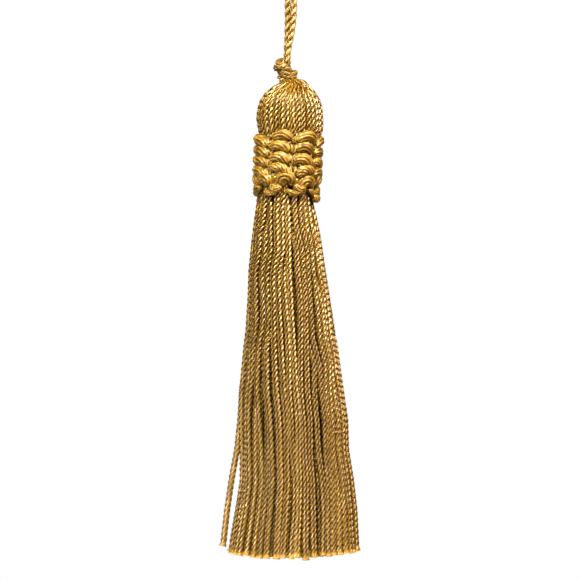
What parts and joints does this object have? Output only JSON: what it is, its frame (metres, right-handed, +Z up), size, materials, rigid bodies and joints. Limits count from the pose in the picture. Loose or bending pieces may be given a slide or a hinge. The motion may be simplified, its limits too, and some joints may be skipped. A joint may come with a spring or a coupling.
{
  "type": "silk tassel",
  "caption": "Hanging tassel: a flared skirt of twisted silk cords under a round head, with a knotted collar, a wrapped knot and a hanging loop.",
  "frame": {"origin": "the point under the top of the hanging loop where a hook carries the tassel", "axes": "+Z up along the hanging tassel, the skirt down -Z; the front shown in the picture faces -Y, its right is +X"},
  "size_m": [0.0411, 0.0344, 0.2126],
  "materials": {
    "loop_cord": "glossy gold two-ply twisted silk cord",
    "knot_cord": "glossy gold silk cord, knotted and wrapped",
    "bundle_cord": "antique gold two-ply twisted silk cord with a soft sheen",
    "collar_cord": "satin olive-gold silk floss, knotted"
  },
  "bodies": {
    "root": {"hanging_loop": "loop_cord", "top_knot": "knot_cord", "head_and_skirt": "bundle_cord", "collar": "collar_cord"}
  },
  "joints": []
}
